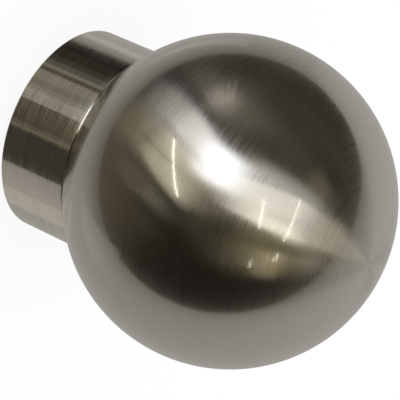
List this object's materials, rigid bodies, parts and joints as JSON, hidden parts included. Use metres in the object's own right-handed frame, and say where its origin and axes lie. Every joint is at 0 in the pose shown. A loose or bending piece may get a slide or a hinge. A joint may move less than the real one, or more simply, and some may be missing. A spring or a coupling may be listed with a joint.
{
  "type": "curtain pole finial",
  "caption": "Plain satin nickel ball finial with a short cylindrical socket collar that slips over the end of a round metal curtain pole.",
  "frame": {"origin": "centre of the collar's open rim, on the pole's axis, where the finial also stands", "axes": "+Z along the pole's axis from the collar's mouth to the ball; +Y towards the grub screw"},
  "size_m": [0.05, 0.05, 0.0562],
  "materials": {
    "satin_nickel": "nickel plate brushed round the axis, under clear lacquer",
    "screw_steel": "zinc plate"
  },
  "bodies": {
    "root": {"ball": "satin_nickel", "collar": "satin_nickel", "fixing_screw": "screw_steel", "grub_screw": "screw_steel"}
  },
  "joints": []
}
